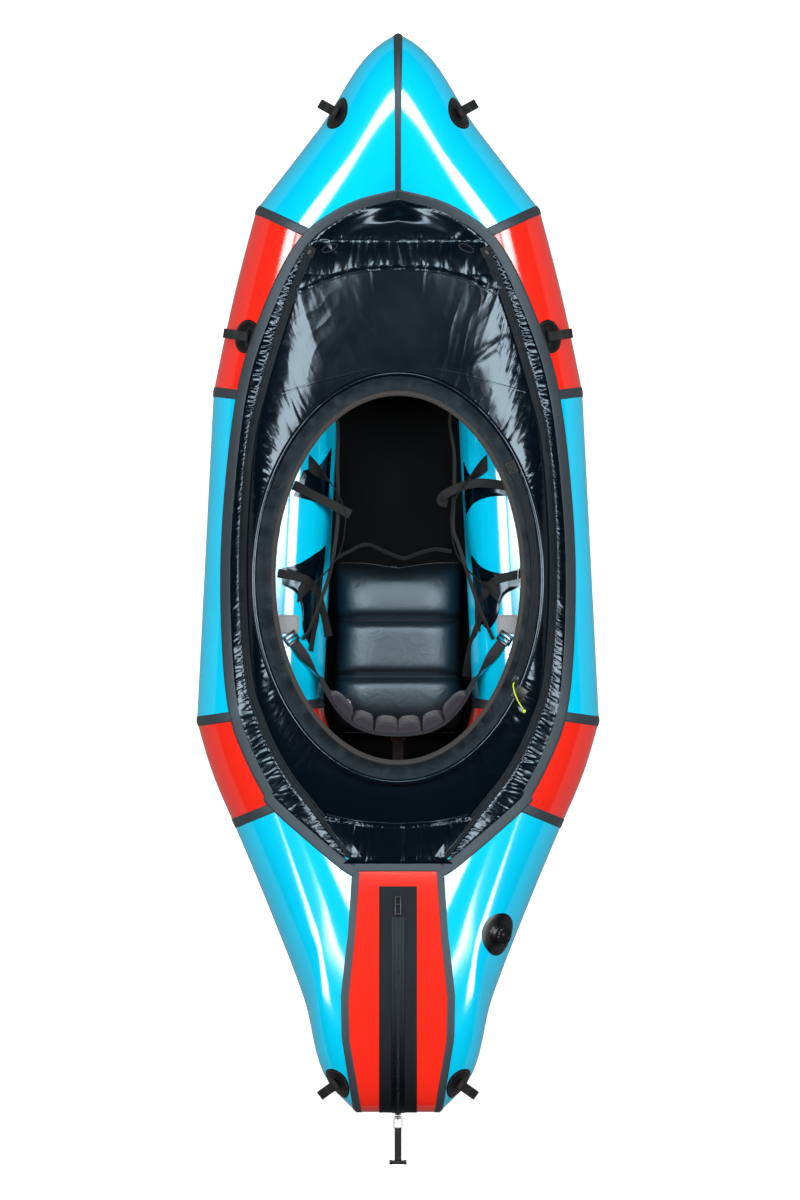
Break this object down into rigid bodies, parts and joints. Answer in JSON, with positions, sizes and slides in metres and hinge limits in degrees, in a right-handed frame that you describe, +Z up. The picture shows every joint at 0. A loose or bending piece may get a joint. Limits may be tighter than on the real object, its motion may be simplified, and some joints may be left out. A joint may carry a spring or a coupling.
{
  "type": "packraft",
  "caption": "Inflatable packraft with a zipped spray deck, raised oval coaming, inflated seat, backband, cargo zip at the stern, valve and webbing grab loops.",
  "frame": {"origin": "bottom centre of the whole boat, on the ground it stands on", "axes": "+Z up, +Y towards the bow, +X towards the side that carries the valve"},
  "size_m": [0.932, 2.6073, 0.3861],
  "materials": {
    "hull_blue": "coated fabric, satin",
    "hull_red": "coated fabric, satin",
    "deck_black": "coated fabric, glossy and creased",
    "tape_grey": "welded tape, matt",
    "webbing_grey": "woven webbing, matt",
    "seat_black": "coated fabric, satin",
    "pad_purple": "knitted mesh over foam, matt",
    "zip_black": "zip tape with moulded teeth, satin",
    "plastic_black": "moulded, satin",
    "cord_green": "woven cord, matt",
    "metal_grey": "satin"
  },
  "bodies": {
    "hull": {"bow_panel_left": "hull_blue", "bow_panel_right": "hull_blue", "front_side_panel_left": "hull_red", "front_side_panel_right": "hull_red", "mid_side_panel_left": "hull_blue", "mid_side_panel_right": "hull_blue", "rear_side_panel_left": "hull_red", "rear_side_panel_right": "hull_red", "stern_side_panel_left": "hull_blue", "stern_side_panel_right": "hull_blue", "stern_centre_panel": "hull_red", "floor_sheet": "deck_black", "bow_seam_tape": "tape_grey", "seam_tapes_left": "tape_grey", "seam_tapes_right": "tape_grey", "deck_border_left": "deck_black", "deck_border_right": "deck_black", "deck_zip_left": "zip_black", "deck_zip_right": "zip_black", "deck_bow_panel": "deck_black", "deck_main_panel": "deck_black", "deck_stern_panel": "deck_black", "coaming_rim_tube": "deck_black", "coaming_lip": "deck_black", "coaming_binding": "tape_grey", "coaming_zip": "zip_black", "cargo_zip_backing": "zip_black", "cargo_zip_chain": "plastic_black", "cargo_zip_dock": "plastic_black", "cargo_zip_slider": "metal_grey", "valve_base": "plastic_black", "grab_patch_bow_left": "plastic_black", "grab_patch_bow_right": "plastic_black", "grab_patch_side_left": "plastic_black", "grab_patch_side_right": "plastic_black", "grab_patch_stern_left": "plastic_black", "grab_patch_stern_right": "plastic_black", "seat_cushion": "seat_black", "seat_front_strap": "webbing_grey", "backband_rear_strap": "webbing_grey", "strap_anchor_left": "webbing_grey", "strap_anchor_right": "webbing_grey", "thigh_strap_left": "webbing_grey", "thigh_strap_right": "webbing_grey"},
    "valve_cap": {"valve_cap": "plastic_black"},
    "valve_stem": {"valve_stem": "plastic_black"},
    "cargo_puller": {"cargo_zip_puller": "plastic_black"},
    "coaming_slider": {"coaming_zip_slider": "plastic_black", "coaming_pull_cord": "cord_green", "pull_cord_knot": "cord_green"},
    "backband": {"backband_belt": "webbing_grey", "backband_pads": "pad_purple", "backband_buckle_left": "plastic_black", "backband_buckle_right": "plastic_black"},
    "grab_loop_bow_right": {"grab_loop_bow_right": "webbing_grey"},
    "grab_loop_bow_left": {"grab_loop_bow_left": "webbing_grey"},
    "grab_loop_side_right": {"grab_loop_side_right": "webbing_grey"},
    "grab_loop_side_left": {"grab_loop_side_left": "webbing_grey"},
    "grab_loop_stern_right": {"grab_loop_stern_right": "webbing_grey"},
    "grab_loop_stern_left": {"grab_loop_stern_left": "webbing_grey"}
  },
  "joints": [
    {"name": "valve_cap_twist", "type": "hinge", "parent": "hull", "child": "valve_cap", "pos_m": [0.23453, -0.77144, 0.27791], "axis": [0.6221, -0.138, 0.7706], "range_deg": [0, 90]},
    {"name": "valve_stem_press", "type": "slide", "parent": "hull", "child": "valve_stem", "axis": [-0.6221, 0.138, -0.7706], "range_m": [0, 0.0025], "stiffness_N_per_m": 200, "springref_m": -0.001},
    {"name": "cargo_puller_flap", "type": "hinge", "parent": "hull", "child": "cargo_puller", "pos_m": [0, -1.19574, 0.24724], "axis": [1, 0, 0], "range_deg": [-70, 70]},
    {"name": "coaming_zip_run", "type": "hinge", "parent": "hull", "child": "coaming_slider", "pos_m": [-0.30858, 0.04952, 0.3511], "axis": [0, 0, 1], "range_deg": [0, 43]},
    {"name": "backband_tilt", "type": "hinge", "parent": "hull", "child": "backband", "pos_m": [0, -0.066, 0.28], "axis": [1, 0, 0], "range_deg": [-12, 0], "deforming": ["backband_rear_strap"]},
    {"name": "grab_loop_bow_right_fold", "type": "hinge", "parent": "hull", "child": "grab_loop_bow_right", "pos_m": [0.14585, 1.12194, 0.31088], "axis": [0.509, -0.8608, 0], "range_deg": [0, 110]},
    {"name": "grab_loop_bow_left_fold", "type": "hinge", "parent": "hull", "child": "grab_loop_bow_left", "pos_m": [-0.14585, 1.12194, 0.31088], "axis": [0.509, 0.8608, 0], "range_deg": [0, 110]},
    {"name": "grab_loop_side_right_fold", "type": "hinge", "parent": "hull", "child": "grab_loop_side_right", "pos_m": [0.35308, 0.60656, 0.27049], "axis": [0.1513, -0.9885, 0], "range_deg": [0, 110]},
    {"name": "grab_loop_side_left_fold", "type": "hinge", "parent": "hull", "child": "grab_loop_side_left", "pos_m": [-0.35308, 0.60656, 0.27049], "axis": [0.1513, 0.9885, 0], "range_deg": [0, 110]},
    {"name": "grab_loop_stern_right_fold", "type": "hinge", "parent": "hull", "child": "grab_loop_stern_right", "pos_m": [0.14599, -1.11836, 0.28565], "axis": [-0.5973, -0.802, 0], "range_deg": [0, 110]},
    {"name": "grab_loop_stern_left_fold", "type": "hinge", "parent": "hull", "child": "grab_loop_stern_left", "pos_m": [-0.14599, -1.11836, 0.28565], "axis": [-0.5973, 0.802, 0], "range_deg": [0, 110]}
  ]
}
